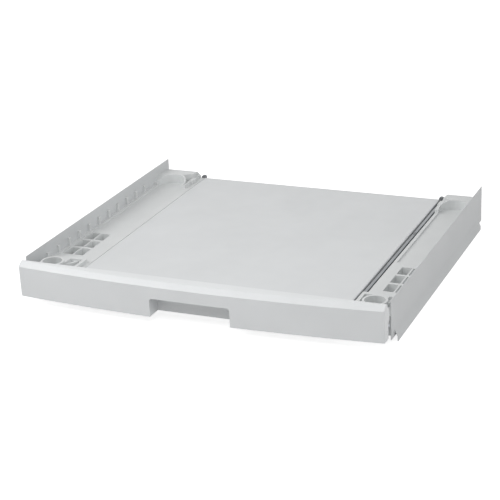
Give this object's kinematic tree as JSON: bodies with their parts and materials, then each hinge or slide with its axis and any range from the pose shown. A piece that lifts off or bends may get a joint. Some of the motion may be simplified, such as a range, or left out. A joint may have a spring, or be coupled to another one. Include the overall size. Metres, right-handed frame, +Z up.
{
  "type": "washer dryer stacking kit",
  "caption": "Low white frame that joins a dryer to a washing machine below it: moulded foot rails, skirted side plates and a bow-fronted shelf that pulls out on slides.",
  "frame": {"origin": "centre of the whole kit's bounding box, at the lower edge of the skirts", "axes": "+X to the right as seen from the front, -Y to the front where the shelf pulls out, +Z up"},
  "size_m": [0.6114, 0.564, 0.07],
  "materials": {
    "white_moulding": "satin",
    "white_shelf": "satin",
    "rail_moulding": "satin",
    "painted_sheet": "satin",
    "zinc_steel": "satin",
    "galvanised_bar": "satin",
    "black_plastic": "matte",
    "pad_rubber": "matte",
    "screw_steel": "satin",
    "ball_steel": "polished"
  },
  "bodies": {
    "base": {"base_pads_left": "pad_rubber", "base_pads_right": "pad_rubber", "cross_bar_front": "galvanised_bar", "cross_bar_rear": "galvanised_bar", "cross_bar_screws": "screw_steel", "end_cap_screws": "screw_steel", "foot_rail_left": "rail_moulding", "foot_rail_right": "rail_moulding", "side_plate_left": "painted_sheet", "side_plate_right": "painted_sheet", "side_plate_screws": "screw_steel", "slide_end_cap_left": "black_plastic", "slide_end_cap_right": "black_plastic", "slide_lock_clip_left": "black_plastic", "slide_lock_clip_right": "black_plastic", "slide_outer_left": "zinc_steel", "slide_outer_right": "zinc_steel", "slide_rail_screws": "screw_steel"},
    "shelf": {"fascia": "white_moulding", "shelf_panel": "white_shelf", "fascia_screws": "screw_steel", "slide_shelf_rivets": "screw_steel", "slide_inner_left": "zinc_steel", "slide_inner_right": "zinc_steel"},
    "middle_left": {"slide_middle_left": "zinc_steel"},
    "outer_cage_left": {"ball_cage_outer_left": "black_plastic", "balls_outer_left": "ball_steel"},
    "inner_cage_left": {"ball_cage_inner_left": "black_plastic", "balls_inner_left": "ball_steel"},
    "middle_right": {"slide_middle_right": "zinc_steel"},
    "outer_cage_right": {"ball_cage_outer_right": "black_plastic", "balls_outer_right": "ball_steel"},
    "inner_cage_right": {"ball_cage_inner_right": "black_plastic", "balls_inner_right": "ball_steel"}
  },
  "joints": [
    {"name": "shelf_slide", "type": "slide", "parent": "base", "child": "shelf", "axis": [0, -1, 0], "range_m": [0, 0.36]},
    {"name": "middle_slide_left", "type": "slide", "parent": "base", "child": "middle_left", "axis": [0, -1, 0], "range_m": [0, 0.18]},
    {"name": "outer_cage_slide_left", "type": "slide", "parent": "base", "child": "outer_cage_left", "axis": [0, -1, 0], "range_m": [0, 0.09]},
    {"name": "inner_cage_slide_left", "type": "slide", "parent": "base", "child": "inner_cage_left", "axis": [0, -1, 0], "range_m": [0, 0.27]},
    {"name": "middle_slide_right", "type": "slide", "parent": "base", "child": "middle_right", "axis": [0, -1, 0], "range_m": [0, 0.18]},
    {"name": "outer_cage_slide_right", "type": "slide", "parent": "base", "child": "outer_cage_right", "axis": [0, -1, 0], "range_m": [0, 0.09]},
    {"name": "inner_cage_slide_right", "type": "slide", "parent": "base", "child": "inner_cage_right", "axis": [0, -1, 0], "range_m": [0, 0.27]}
  ],
  "couplings": [
    {"joint": "middle_slide_left", "follows": "shelf_slide", "ratio": 0.5},
    {"joint": "outer_cage_slide_left", "follows": "shelf_slide", "ratio": 0.25},
    {"joint": "inner_cage_slide_left", "follows": "shelf_slide", "ratio": 0.75},
    {"joint": "middle_slide_right", "follows": "shelf_slide", "ratio": 0.5},
    {"joint": "outer_cage_slide_right", "follows": "shelf_slide", "ratio": 0.25},
    {"joint": "inner_cage_slide_right", "follows": "shelf_slide", "ratio": 0.75}
  ]
}
